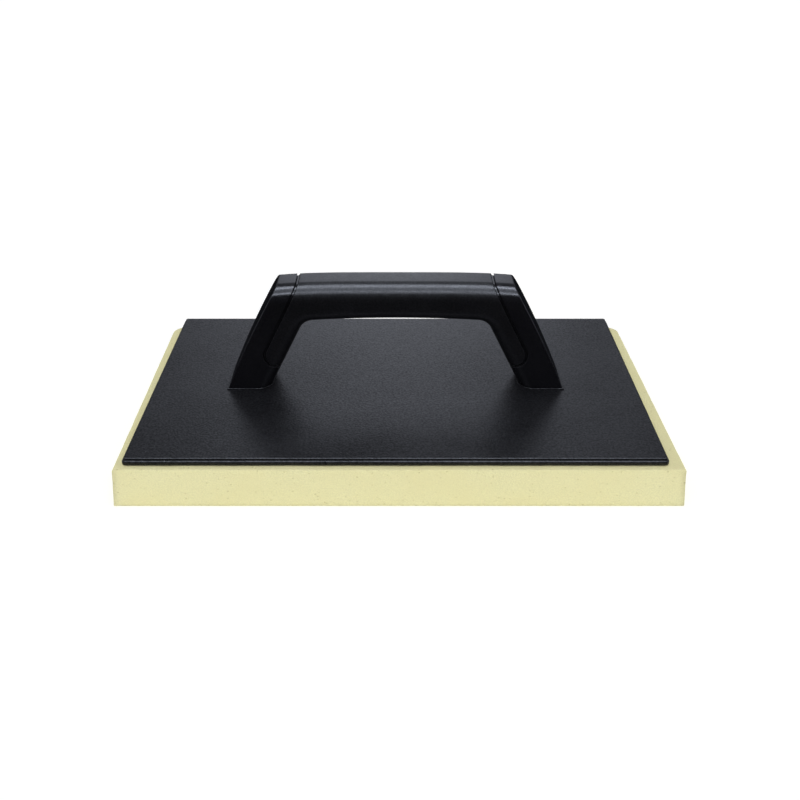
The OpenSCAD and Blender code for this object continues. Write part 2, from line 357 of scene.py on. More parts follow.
def run_tree(piece, tree, **values):
    """Runs a geometry tree on a piece with the given inputs, applies it and removes it."""
    step = piece.modifiers.new(tree.name, "NODES")
    step.node_group = tree
    for item in tree.interface.items_tree:
        if item.in_out == "INPUT" and item.name in values:
            step[item.identifier] = values[item.name]
    settle(piece)
    bpy.data.node_groups.remove(tree)


def surface(name):
    """A new material with one shader in it, its tree, and the point on the piece."""
    material = bpy.data.materials.new(name)
    material.use_nodes = True
    tree = material.node_tree
    tree.nodes.clear()
    shader = put(tree, "ShaderNodeBsdfPrincipled")
    output = put(tree, "ShaderNodeOutputMaterial")
    tree.links.new(shader.outputs["BSDF"], output.inputs["Surface"])
    point = put(tree, "ShaderNodeTexCoord").outputs["Object"]
    return material, tree, shader, point


def speckle(tree, point, size, detail=2.0, roughness=0.5):
    """Noise of a given size, as a value."""
    settings = {"Vector": point, "Scale": 1.0 / size, "Detail": detail, "Roughness": roughness}
    return put(tree, "ShaderNodeTexNoise", None, settings).outputs[0]


def spread(tree, value, low, high, new_low, new_high):
    """Maps one range of a value to another, with the ends held."""
    ends = {"Value": value, 1: low, 2: high, 3: new_low, 4: new_high}
    return put(tree, "ShaderNodeMapRange", {"clamp": True}, ends).outputs[0]


def blended(tree, share, first, second):
    """Mixes two colours."""
    mix = put(tree, "ShaderNodeMix", {"data_type": "RGBA"}, {0: share, 6: first, 7: second})
    return mix.outputs[2]


def relief(tree, shader, height, strength, distance, below=None):
    """Raises a surface by a height, on top of any relief that is there already."""
    inputs = {"Height": height, "Strength": strength, "Distance": distance}
    if below is not None:
        inputs["Normal"] = below
    bump = put(tree, "ShaderNodeBump", None, inputs)
    tree.links.new(bump.outputs[0], shader.inputs["Normal"])
    return bump.outputs[0]


def foam_finish(sizes):
    """Cut polyurethane foam: a fine grain, open pores with painted shade down in them and a slow change of
    tone.
    """
    material, tree, shader, point = surface("cut foam")
    grain = speckle(tree, point, 0.9 * MM, 3.0, 0.6)
    tone = speckle(tree, point, 34 * MM, 3.0, 0.55)
    cells = put(tree, "ShaderNodeTexVoronoi", {"feature": "F1"}, {"Vector": point, "Scale": 1 / (2.6 * MM)})
    pores = spread(tree, cells.outputs["Distance"], 0.08, 0.26, 1.0, 0.0)
    chosen = spread(tree, speckle(tree, point, 3.5 * MM, 1.0), 0.50, 0.60, 0.0, 1.0)
    pores = maths(tree, "MULTIPLY", pores, chosen)
    light = [min(1.0, c * 1.05) for c in sizes.colour[:3]] + [1.0]
    dark = [c * 0.90 for c in sizes.colour[:3]] + [1.0]
    colour = blended(tree, spread(tree, grain, 0.30, 0.70, 0.0, 1.0), dark, light)
    warm = [sizes.colour[0] * 0.98, sizes.colour[1] * 0.955, sizes.colour[2] * 0.90, 1.0]
    colour = blended(tree, spread(tree, tone, 0.35, 0.70, 0.0, 0.55), colour, warm)
    # Painted shade: the pores are darkened towards the pore colour.
    colour = blended(tree, maths(tree, "MULTIPLY", pores, 0.55), colour, sizes.pore_shade_colour)
    tree.links.new(colour, shader.inputs["Base Color"])
    shader.inputs["Roughness"].default_value = 0.95
    shader.inputs["Specular IOR Level"].default_value = 0.15
    fine = relief(tree, shader, grain, 0.80, 0.6 * MM)
    relief(tree, shader, maths(tree, "SUBTRACT", 1.0, pores), 0.6, 0.5 * MM, fine)
    return material


def plate_finish(sizes):
    """Spark-textured moulding: a fine grain that breaks up reflections, with a few rubbed places."""
    material, tree, shader, point = surface("textured plate")
    grain = speckle(tree, point, 1.25 * MM, 2.0, 0.6)
    coarse = speckle(tree, point, 3.6 * MM, 2.0, 0.5)
    cloud = speckle(tree, point, 46 * MM, 3.0, 0.5)
    pale = [c * 1.5 for c in sizes.colour[:3]] + [1.0]
    share = spread(tree, grain, 0.42, 0.80, 0.0, 0.8)
    share = maths(tree, "ADD", share, spread(tree, cloud, 0.40, 0.75, 0.0, 0.4))
    colour = blended(tree, share, sizes.colour, pale)
    tree.links.new(colour, shader.inputs["Base Color"])
    rough = spread(tree, cloud, 0.30, 0.70, 0.29, 0.36)
    rough = maths(tree, "ADD", rough, spread(tree, coarse, 0.3, 0.7, -0.03, 0.03))
    tree.links.new(rough, shader.inputs["Roughness"])
    gloss = spread(tree, grain, 0.30, 0.70, 0.20, 0.66)
    gloss = maths(tree, "ADD", gloss, spread(tree, cloud, 0.35, 0.65, -0.05, 0.07))
    tree.links.new(gloss, shader.inputs["Specular IOR Level"])
    shader.inputs["IOR"].default_value = 1.49
    fine = relief(tree, shader, grain, 0.70, 0.16 * MM)
    relief(tree, shader, coarse, 0.22, 0.18 * MM, fine)
    return material


def handle_finish(name, colour, rough_low, rough_high, grain_size, grain_strength):
    """Smooth moulded plastic: a fine grain, soft handling marks, painted shade in the creases and matt outer
    ends.
    """
    material, tree, shader, point = surface(name)
    cloud = speckle(tree, point, 15 * MM, 3.0, 0.55)
    marks = speckle(tree, point, 4.5 * MM, 3.0, 0.6)
    grain = speckle(tree, point, grain_size, 2.0, 0.6)
    # Painted shade: an ambient occlusion mask that darkens the colour towards near black and dims the
    # reflections in creases and in the groove.
    crease = put(tree, "ShaderNodeAmbientOcclusion", {"samples": 8}, {"Distance": 1.1 * MM}).outputs["AO"]
    crease = spread(tree, crease, 0.35, 0.95, 0.05, 1.0)
    dark = [c * 0.2 for c in colour[:3]] + [1.0]
    pale = [c * 1.5 for c in colour[:3]] + [1.0]
    shade = blended(tree, spread(tree, cloud, 0.35, 0.75, 0.0, 0.6), colour, pale)
    # Painted shade: the colour is blended towards the dark colour where the crease mask falls.
    tree.links.new(blended(tree, crease, dark, shade), shader.inputs["Base Color"])
    place = put(tree, "ShaderNodeSeparateXYZ", None, {0: point}).outputs[0]
    facing = put(tree, "ShaderNodeTexCoord").outputs["Normal"]
    sideways = put(tree, "ShaderNodeSeparateXYZ", None, {0: facing}).outputs[0]
    outwards = maths(tree, "MULTIPLY", maths(tree, "SIGN", place), sideways)
    ends = spread(tree, outwards, 0.80, 0.86, 0.0, 1.0)
    rough = spread(tree, marks, 0.30, 0.70, rough_low, rough_high)
    rough = maths(tree, "ADD", rough, maths(tree, "MULTIPLY", ends, 0.4))
    tree.links.new(rough, shader.inputs["Roughness"])
    gloss = spread(tree, grain, 0.30, 0.70, 0.38, 0.62)
    gloss = maths(tree, "MULTIPLY", gloss, spread(tree, ends, 0.0, 1.0, 1.0, 0.04))
    # Painted shade: the reflections are dimmed where the crease mask falls.
    tree.links.new(maths(tree, "MULTIPLY", gloss, crease), shader.inputs["Specular IOR Level"])
    shader.inputs["IOR"].default_value = 1.50
    edge = put(tree, "ShaderNodeBevel", {"samples": 4}, {"Radius": 0.35 * MM}).outputs[0]
    relief(tree, shader, grain, grain_strength, 0.05 * MM, edge)
    return material


def adhesive_finish(colour):
    """Dried contact adhesive: a thin, lumpy amber film."""
    material, tree, shader, point = surface("dried adhesive")
    lumps = speckle(tree, point, 4 * MM, 4.0, 0.6)
    dark = [c * 0.6 for c in colour[:3]] + [1.0]
    mixed = blended(tree, spread(tree, lumps, 0.3, 0.7, 0.0, 1.0), dark, colour)
    tree.links.new(mixed, shader.inputs["Base Color"])
    tree.links.new(spread(tree, lumps, 0.3, 0.7, 0.30, 0.55), shader.inputs["Roughness"])
    relief(tree, shader, lumps, 0.6, 0.3 * MM)
    return material


def zinc_finish(colour):
    """Zinc plating on steel: bright, with a fine drawn grain."""
    material, tree, shader, point = surface("zinc plating")
    grain = speckle(tree, point, 0.5 * MM, 3.0, 0.6)
    dark = [c * 0.75 for c in colour[:3]] + [1.0]
    mixed = blended(tree, spread(tree, grain, 0.3, 0.7, 0.0, 1.0), dark, colour)
    tree.links.new(mixed, shader.inputs["Base Color"])
    tree.links.new(spread(tree, grain, 0.3, 0.7, 0.22, 0.40), shader.inputs["Roughness"])
    shader.inputs["Metallic"].default_value = 1.0
    relief(tree, shader, grain, 0.3, 0.03 * MM)
    return material


def floor_finish(colour, glow):
    """A plain pale floor with the least change of tone."""
    material, tree, shader, point = surface("pale floor")
    cloud = speckle(tree, point, 0.6, 3.0, 0.5)
    pale = [min(1.0, c * 1.02) for c in colour[:3]] + [1.0]
    mixed = blended(tree, spread(tree, cloud, 0.3, 0.7, 0.0, 1.0), colour, pale)
    tree.links.new(mixed, shader.inputs["Base Color"])
    shader.inputs["Roughness"].default_value = 0.9
    shader.inputs["Specular IOR Level"].default_value = 0.1
    shader.inputs["Emission Color"].default_value = (1.0, 1.0, 1.0, 1.0)
    shader.inputs["Emission Strength"].default_value = glow
    return material


# The handle's form


def eased(run, radius):
    """How far a rounded edge has fallen back, run past where the rounding starts."""
    run = min(max(run, 0.0), radius)
    return radius - math.sqrt(max(radius * radius - run * run, 0.0))


def rounded_corner(before, corner, after, radius, steps):
    """Points on an arc that replaces a corner between two straight lines."""
    first = (Vector(before) - Vector(corner)).normalized()
    second = (Vector(after) - Vector(corner)).normalized()
    half = first.angle(second) / 2
    middle = Vector(corner) + (first + second).normalized() * radius / math.sin(half)
    start = Vector(corner) + first * radius / math.tan(half) - middle
    end = Vector(corner) + second * radius / math.tan(half) - middle
    whole = start.angle(end)
    points = []
    for i in range(steps + 1):
        t = i / steps
        across = math.sin((1 - t) * whole) * start + math.sin(t * whole) * end
        points.append(tuple(middle + across / math.sin(whole)))
    return points


class HandleForm:
    """The handle's side outline and rounded edges. Heights are above the plate's top face."""

    def __init__(self, sizes):
        self.sizes = sizes
        self.lean = sizes.lean
        self.half = (FRAME_HIGH.y - FRAME_LOW.y) / 2
        self.middle = (FRAME_HIGH.y + FRAME_LOW.y) / 2
        self.low = FRAME_LOW.z - PLATE_TOP
        self.top = GRIP_HIGH.z - PLATE_TOP
        slope = math.tan(sizes.lean)
        self.foot = FRAME_HIGH.x + self.low * slope - self.bow(self.low)
        self.inner = self.foot - sizes.leg / math.cos(sizes.lean)
        self.grip_half = self.foot - self.top * slope
        self.knee_z = sizes.hand_gap - sizes.knee
        self.knee_x = self.inner - self.knee_z * slope - sizes.knee / math.cos(sizes.lean)

    def bow(self, z):
        """How far the outer face of a leg stands out from a straight line at a height."""
        return 4 * self.sizes.bow * z / self.top * (1 - z / self.top)

    def end_x(self, z, end_inset):
        """Half the handle's length at a height, brought in by end_inset."""
        return self.foot - end_inset / math.cos(self.lean) - z * math.tan(self.lean) + self.bow(z)

    def crown_z(self, x, inset):
        """The height of the grip's top at a distance from its middle, brought in by inset."""
        return self.top - inset - self.sizes.crown * (x / self.grip_half) ** 4

    def on_leg(self, across, along):
        """A point on the right leg: outwards across it and up along it, from its inner face's foot."""
        turn_cos, turn_sin = math.cos(self.lean), math.sin(self.lean)
        return (
            self.inner + across * turn_cos - along * turn_sin,
            across * turn_sin + along * turn_cos,
        )

    def gap_top(self, inset, steps=14):
        """The right half of the hand gap's upper edge, from the leg to the middle of the grip."""
        radius = self.sizes.knee + inset
        points = []
        for i in range(steps + 1):
            turn = self.lean + (math.pi / 2 - self.lean) * i / steps
            points.append((self.knee_x + radius * math.cos(turn), self.knee_z + radius * math.sin(turn)))
        for i in range(steps - 1, -1, -1):
            out = i / steps
            rise = self.sizes.arch * (1 - out * out)
            points.append((out * self.knee_x, self.knee_z + radius + rise))
        return points

    def outline(self, inset, top_inset, end_inset, base, steps=14):
        """The side outline, brought in round the hand gap, along the top and at the outer ends."""
        leg_in = (self.inner + inset / math.cos(self.lean) - base * math.tan(self.lean), base)
        x = self.grip_half
        for _ in range(8):
            z = self.crown_z(x, top_inset)
            x = self.end_x(z, end_inset)
        near = 3 * MM
        heights = [base + (z - near - base) * i / 10 for i in range(11)]
        leg_out = [(self.end_x(height, end_inset), height) for height in heights]
        beside = (x - near, self.crown_z(x - near, top_inset))
        tip = rounded_corner(leg_out[-1], (x, z), beside, self.sizes.tip_round, 4)
        reach = tip[-1][0]
        places = [reach * i / steps for i in range(steps - 1, -1, -1)]
        top = [(x, self.crown_z(x, top_inset)) for x in places]
        inside = [leg_in] + self.gap_top(inset, steps)
        outside = leg_out + tip + top
        right = outside[::-1] + inside[:-1]
        left = [(-x, z) for x, z in reversed(right[1:])]
        return right + [inside[-1]] + left

    def layers(self, inset):
        """How far each cut across the handle lies from its middle, from the front face to the back."""
        half = self.half - inset
        out = []
        widest = self.sizes.top_rounding - inset
        for radius, steps in ((self.sizes.rounding - inset, 10), (widest, 12), (self.sizes.end_round, 4)):
            out += [half - radius + radius * math.sin(math.pi / 2 * i / steps) for i in range(steps + 1)]
        out = sorted(out)
        kept = [y for i, y in enumerate(out) if i == 0 or y - out[i - 1] > 0.05 * MM]
        kept[-1] = half
        return [-y for y in reversed(kept)] + kept

    def fall(self, y, inset):
        """How far the rounded edges and the outer edges have fallen back at a distance from the middle."""
        half = self.half - inset
        radii = (self.sizes.rounding - inset, self.sizes.top_rounding - inset, self.sizes.end_round)
        return [eased(abs(y) - half + radius, radius) for radius in radii]

    def solid(self, name, inset, end_inset, base):
        """The handle's form above a base, brought in all round."""
        rings = []
        for y in self.layers(inset):
            back, top_back, end_back = self.fall(y, inset)
            flat = self.outline(inset + back, inset + top_back, end_inset + end_back, base)
            rings.append([Vector((x, y + self.middle, z + PLATE_TOP)) for x, z in flat])
        return lofted(name, rings)

    def foot_ring(self, side, margin, height):
        """The outline of one foot at a height, seen from above and let out by a margin."""
        slope, across = math.tan(self.lean), math.cos(self.lean)
        ys = [y * (1 + margin / self.half) for y in self.layers(0.0)]
        inner, outer = [], []
        for y in ys:
            back, _, end_back = self.fall(y, -margin)
            inner.append((self.inner + (back - margin) / across - height * slope, y))
            outer.append((self.end_x(height, end_back - margin), y))
        around = inner + outer[::-1]
        return [Vector((side * x, y + self.middle, height + PLATE_TOP)) for x, y in around]

    def inside_groove(self, grow):
        """The side outline of everything inside the line of the groove, let out by grow."""
        sizes = self.sizes
        across = sizes.groove_in + grow
        low = sizes.groove_start - grow
        radius = sizes.groove_corner + grow
        top_x = self.grip_half - sizes.groove_end + grow
        bend_z = (self.inner + across / math.cos(self.lean) - top_x) / math.tan(self.lean)
        high = 2 * self.top
        bend_radius = 14 * MM
        start, end = (top_x, high), self.on_leg(across, low + radius)
        right = [start] + rounded_corner(start, (top_x, bend_z), end, bend_radius, 6)
        for i in range(9):
            turn = math.pi / 2 * i / 8
            out = across - radius + radius * math.cos(turn)
            right.append(self.on_leg(out, low + radius - radius * math.sin(turn)))
        right.append(self.on_leg(-30 * MM, low))
        return right + [(-x, z) for x, z in reversed(right)]

    def slot(self, start, grow):
        """The side outline of the slot along the handle's inner side."""
        inset = self.sizes.cover + self.sizes.wall + grow
        right = [self.on_leg(-20 * MM, start), self.on_leg(inset, start)] + self.gap_top(inset)
        return right + [(-x, z) for x, z in reversed(right[:-1])]

    def screw_places(self):
        """Where the four screws stand."""
        x = (SCREW_HIGH.x - SCREW_LOW.x - bpy.context.scene.float_screws.head) / 2
        y = (SCREW_HIGH.y - SCREW_LOW.y - bpy.context.scene.float_screws.head) / 2
        return [(side * x, self.middle + face * y) for side in (-1, 1) for face in (-1, 1)]


def boss_height():
    """The top of the screw bosses above the plate's top face."""
    return SCREW_HIGH.z - PLATE_TOP + bpy.context.scene.float_screws.tip_cover


# Pieces


class FLOAT_OT_foam_pad(bpy.types.Operator):
    """Build the foam pad"""

    bl_idname = "float_parts.foam_pad"
    bl_label = "Foam Pad"

    def ring(self, sizes, z, inset):
        """The pad's outline at a height, brought in by inset."""
        middle = (PAD_LOW + PAD_HIGH) / 2
        thick = PAD_HIGH.z - PAD_LOW.z
        half_wid = (PAD_HIGH.y - PAD_LOW.y) / 2
        lean = sizes.flare * (1 - z / thick)
        foot = (PAD_HIGH.x - PAD_LOW.x) / 2 - half_wid * math.tan(sizes.skew)
        half_len = foot - sizes.flare / math.cos(sizes.skew) + lean / math.cos(sizes.skew) - inset
        front, back = -half_wid + inset, half_wid - inset
        radius = max(sizes.corner - inset, 0.5 * MM)

        def end(side, y):
            return side * half_len - y * math.tan(sizes.skew)

        flat = [(end(-1, front) * (1 - i / 64) + end(1, front) * i / 64, front) for i in range(64)]
        reach = back - radius - front
        flat += [(end(1, front + reach * i / 36), front + reach * i / 36) for i in range(36)]
        left, right = end(-1, back - radius) + radius, end(1, back - radius) - radius
        for i in range(8):
            turn = math.pi / 2 * i / 8
            flat.append((right + radius * math.cos(turn), back - radius + radius * math.sin(turn)))
        flat += [(right + (left - right) * i / 60, back) for i in range(60)]
        for i in range(8):
            turn = math.pi / 2 * i / 8
            flat.append((left - radius * math.sin(turn), back - radius + radius * math.cos(turn)))
        places = [back - radius - reach * i / 36 for i in range(36)]
        flat += [(end(-1, y), y) for y in places]
        return [Vector((x + middle.x, y + middle.y, z)) for x, y in flat]

    def uneven_surface(self):
        """A node tree that moves the pad's skin in and out by a slow and a quick unevenness."""
        tree, given = new_tree("uneven foam", Cell="Float", Depth="Float", Seed="Float", Finish="Material")
        place = put(tree, "GeometryNodeInputPosition").outputs[0]
        out = put(tree, "GeometryNodeInputNormal").outputs[0]
        rate = maths(tree, "DIVIDE", 1.0, given["Cell"])
        moves = []
        for share, faster in ((1.0, 1.0), (0.45, 4.0)):
            scale = maths(tree, "MULTIPLY", rate, faster)
            noise = {"Vector": place, "W": given["Seed"], "Scale": scale, "Detail": 2.0}
            cloud = put(tree, "ShaderNodeTexNoise", {"noise_dimensions": "4D"}, noise).outputs[0]
            swing = maths(tree, "MULTIPLY", maths(tree, "SUBTRACT", cloud, 0.62), given["Depth"])
            moves.append(maths(tree, "MULTIPLY", swing, 2.0 * share))
        height = put(tree, "ShaderNodeSeparateXYZ", None, {0: place}).outputs[2]
        clear = maths(tree, "MINIMUM", maths(tree, "MULTIPLY", height, 800.0), 1.0)
        total = maths(tree, "MULTIPLY", maths(tree, "ADD", moves[0], moves[1]), clear)
        push = {0: out, "Scale": total}
        shift = put(tree, "ShaderNodeVectorMath", {"operation": "SCALE"}, push).outputs[0]
        moved = put(tree, "GeometryNodeSetPosition", None, {"Geometry": given["Geometry"], "Offset": shift})
        return close_tree(tree, moved.outputs[0], given["Finish"])

    def execute(self, context):
        sizes = context.scene.float_pad
        thick = PAD_HIGH.z - PAD_LOW.z
        soft = sizes.soft_edge
        rings = [self.ring(sizes, 0.0, inset) for inset in (40 * MM, 14 * MM, 5 * MM, 0.5 * MM)]
        rings += [self.ring(sizes, 0.35 * MM, 0.0)]
        rings += [self.ring(sizes, z * MM, 0.0) for z in (2.5, 5, 7.5, 10, 12.5, 15, 17.5, 20, 22)]
        for i in range(5):
            turn = math.pi / 2 * i / 4
            rings.append(
                self.ring(sizes, thick - soft + soft * math.sin(turn), soft - soft * math.cos(turn))
            )
        rings += [self.ring(sizes, thick, inset * MM) for inset in (2.2, 4, 7, 12, 20, 40)]
        pad = lofted("pad_foam", rings)
        pad.data.shade_smooth()
        material = foam_finish(sizes)
        run_tree(pad, self.uneven_surface(), Cell=sizes.cell, Depth=sizes.depth, Seed=4.0, Finish=material)
        finish_piece(pad, material, "foam", "foam_pad")
        return {"FINISHED"}


class FLOAT_OT_adhesive_film(bpy.types.Operator):
    """Finish the adhesive film between the pad and the plate"""

    bl_idname = "float_parts.adhesive_film"
    bl_label = "Adhesive Film"

    def execute(self, context):
        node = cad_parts["adhesive_film"]
        material = adhesive_finish(context.scene.float_plate.film_colour)
        for place in node.material_slots:
            place.material = material
        return {"FINISHED"}


class FLOAT_OT_base_plate(bpy.types.Operator):
    """Build the base plate with its stepped rim, its seats and its screw holes"""

    bl_idname = "float_parts.base_plate"
    bl_label = "Base Plate"

    def ring(self, sizes, inset, z):
        """The plate's outline, brought in from its widest by inset."""
        half_x = PLATE_HIGH.x - inset
        half_y = PLATE_HIGH.y - inset
        radius = max(sizes.corner + sizes.ledge - inset, 0.3 * MM)
        points = []
        for start, side_x, side_y in ((0, 1, 1), (90, -1, 1), (180, -1, -1), (270, 1, -1)):
            for i in range(7):
                turn = math.radians(start + 15 * i)
                x = side_x * (half_x - radius) + radius * math.cos(turn)
                y = side_y * (half_y - radius) + radius * math.sin(turn)
                points.append(Vector((x, y, z)))
        return points

    def slab(self, sizes):
        """The plate without its seats: a ledge and a raised face, each with a rounded edge."""
        rim = sizes.rim_round
        ledge_z = PLATE_TOP - sizes.ledge_drop
        rings = [self.ring(sizes, 0.25 * MM, PLATE_LOW.z), self.ring(sizes, 0.0, PLATE_LOW.z + 0.25 * MM)]
        for top, widest in ((ledge_z, 0.0), (PLATE_TOP, sizes.ledge)):
            for i in range(6):
                turn = math.pi / 2 * i / 5
                inset = widest + rim - rim * math.cos(turn)
                rings.append(self.ring(sizes, inset, top - rim + rim * math.sin(turn)))
            if widest == 0.0:
                rings.append(self.ring(sizes, sizes.ledge - 0.1 * MM, top))
                rings.append(self.ring(sizes, sizes.ledge, top + 0.1 * MM))
        rings.append(self.ring(sizes, sizes.ledge + 2.5 * MM, PLATE_TOP))
        return lofted("plate", rings)

    def execute(self, context):
        sizes = context.scene.float_plate
        screws = context.scene.float_screws
        form = HandleForm(context.scene.float_handle)
        plate = self.slab(sizes)
        edge = 0.3 * MM
        for side in (-1, 1):
            rings = [form.foot_ring(side, sizes.seat_margin, -1.0 * MM)]
            for i in range(4):
                turn = math.pi / 2 * i / 3
                back = edge - edge * math.cos(turn)
                rings.append(
                    form.foot_ring(side, sizes.seat_margin - back, SEAT_RISE - edge + edge * math.sin(turn))
                )
            combine(plate, lofted("seat", rings), "UNION")
        bore = screws.thread / 2 + screws.bore_gap
        head = screws.head / 2 + screws.bore_gap
        cone = (screws.head - screws.thread) / 2
        for place in form.screw_places():
            profile = [
                (head, PLATE_LOW.z - screws.bore_gap),
                (bore, PLATE_LOW.z + cone),
                (bore, PLATE_HIGH.z + 1 * MM),
            ]
            combine(plate, turned("bore", profile, 32, place), "DIFFERENCE")
        smooth(plate)
        finish_piece(plate, plate_finish(sizes), "plate_plastic", "base_plate")
        return {"FINISHED"}


class FLOAT_OT_pin_marks(bpy.types.Operator):
    """Raise the faint rings that the mould's pins leave near the plate's corners"""

    bl_idname = "float_parts.pin_marks"
    bl_label = "Pin Marks"

    def tree(self):
        """A node tree that stands a ring at each point of a mesh."""
        tree, given = new_tree("pin marks", Ring="Float", Line="Float", Finish="Material")
        circle = "GeometryNodeCurvePrimitiveCircle"
        path = put(tree, circle, None, {"Resolution": 40, "Radius": given["Ring"]})
        line = put(tree, circle, None, {"Resolution": 6, "Radius": given["Line"]})
        curves = {"Curve": path.outputs[0], "Profile Curve": line.outputs[0]}
        ring = put(tree, "GeometryNodeCurveToMesh", None, curves)
        stand = {"Points": given["Geometry"], "Instance": ring.outputs[0]}
        spots = put(tree, "GeometryNodeInstanceOnPoints", None, stand)
        return close_tree(tree, spots.outputs[0], given["Finish"])

    def execute(self, context):
        sizes = context.scene.float_plate
        x = PLATE_HIGH.x - sizes.ledge - sizes.pin_inset
        y = PLATE_HIGH.y - sizes.ledge - sizes.pin_inset
        mesh = bpy.data.meshes.new("pin_marks")
        mesh.from_pydata([(a * x, b * y, PLATE_TOP) for a in (-1, 1) for b in (-1, 1)], [], [])
        marks = made_object("pin_marks", mesh)
        material = bpy.data.materials["textured plate"]
        line_radius = 0.09 * MM
        run_tree(marks, self.tree(), Ring=sizes.pin_ring / 2, Line=line_radius, Finish=material)
        finish_piece(marks, material, "plate_plastic")
        return {"FINISHED"}


class FLOAT_OT_handle_frame(bpy.types.Operator):
    """Build the hollow handle frame with its ribs, its bosses and the pocket for the cover"""

    bl_idname = "float_parts.handle_frame"
    bl_label = "Handle Frame"

    def hollow(self, form, sizes, screws):
        """The space inside the frame, with the ribs, webs and bosses left out of it."""
        space = form.solid("hollow", sizes.cover + sizes.wall, sizes.wall, -3 * MM)
        rib = sizes.rib / 2
        top = PLATE_TOP + boss_height()
        span = 2 * (form.knee_x - sizes.rib_end)
        for i in range(4):
            x = span * (i / 3 - 0.5)
            low = (x - rib, FRAME_LOW.y, PLATE_TOP + form.knee_z)
            combine(space, block(low, (x + rib, FRAME_HIGH.y, FRAME_HIGH.z)), "DIFFERENCE")
        for x, y in form.screw_places():
            boss = [(screws.boss / 2, PLATE_HIGH.z - 0.01 * MM), (screws.boss / 2, top)]
            combine(space, turned("boss", boss, 40, (x, y)), "DIFFERENCE")
            side = math.copysign(1, x)
            ends = sorted((side * (form.inner - 20 * MM), side * form.foot))
            web = block((ends[0], y - rib, PLATE_HIGH.z - 0.02 * MM), (ends[1], y + rib, top - 0.01 * MM))
            combine(space, web, "DIFFERENCE")
        return space

    def execute(self, context):
        sizes = context.scene.float_handle
        screws = context.scene.float_screws
        form = HandleForm(sizes)
        grow = sizes.groove / 2
        body = form.solid("frame", 0.0, 0.0, form.low)
        wide = prism("wide", form.inside_groove(grow), form.middle, 3 * form.half, PLATE_TOP)
        combine(wide, form.solid("floor", sizes.groove_depth, 0.0, form.low - 1 * MM), "DIFFERENCE")
        combine(body, wide, "DIFFERENCE")
        pocket = prism("pocket", form.inside_groove(-grow), form.middle, 3 * form.half, PLATE_TOP)
        combine(pocket, form.solid("core", sizes.cover, 0.0, form.low - 1 * MM), "DIFFERENCE")
        combine(body, pocket, "DIFFERENCE")
        combine(body, self.hollow(form, sizes, screws), "DIFFERENCE")
        start = sizes.groove_start + sizes.strip_setback
        wide = sizes.strip / 2 + sizes.strip_gap
        slot = prism("slot", form.slot(start, 0.02 * MM), form.middle, wide, PLATE_TOP)
        combine(body, slot, "DIFFERENCE")
        bore = screws.thread / 2 + screws.bore_gap
        depth = PLATE_TOP + boss_height() - screws.tip_cover + screws.bore_gap
        for place in form.screw_places():
            profile = [(bore, PLATE_TOP - 1 * MM), (bore, depth)]
            combine(body, turned("bore", profile, 32, place), "DIFFERENCE")
        smooth(body)
        material = handle_finish("frame plastic", sizes.frame_colour, 0.17, 0.25, 1.1 * MM, 0.30)
        body.name = "handle_body"
        finish_piece(body, material, "handle_plastic", "handle_frame")
        return {"FINISHED"}


class FLOAT_OT_closing_strip(bpy.types.Operator):
    """Build the strip that closes the frame's inner side"""

    bl_idname = "float_parts.closing_strip"
    bl_label = "Closing Strip"

    def execute(self, context):
        sizes = context.scene.float_handle
        form = HandleForm(sizes)
        start = sizes.groove_start + sizes.strip_setback + sizes.strip_gap
        strip = form.solid("inner_strip", sizes.cover, 0.0, form.low)
        slot = prism("slot", form.slot(start, 0.0), form.middle, sizes.strip / 2, PLATE_TOP)
        combine(strip, slot, "INTERSECT")
        smooth(strip)
        material = handle_finish("strip plastic", sizes.frame_colour, 0.35, 0.45, 1.1 * MM, 0.40)
        finish_piece(strip, material, "handle_plastic", "closing_strip")
        return {"FINISHED"}


class FLOAT_OT_grip_cover(bpy.types.Operator):
    """Build the soft cover round the grip and the upper legs"""

    bl_idname = "float_parts.grip_cover"
    bl_label = "Grip Cover"

    def execute(self, context):
        sizes = context.scene.float_handle
        form = HandleForm(sizes)
        cover = form.solid("soft_cover", 0.0, 0.0, form.low)
        line = form.inside_groove(-sizes.groove / 2)
        edge = prism("edge", line, form.middle, 3 * form.half, PLATE_TOP)
        combine(cover, edge, "INTERSECT")
        combine(cover, form.solid("core", sizes.cover, -1 * MM, form.low - 1 * MM), "DIFFERENCE")
        smooth(cover)
        material = handle_finish("cover plastic", sizes.cover_colour, 0.28, 0.36, 1.1 * MM, 0.40)
        finish_piece(cover, material, "cover_plastic", "grip_cover")
        return {"FINISHED"}


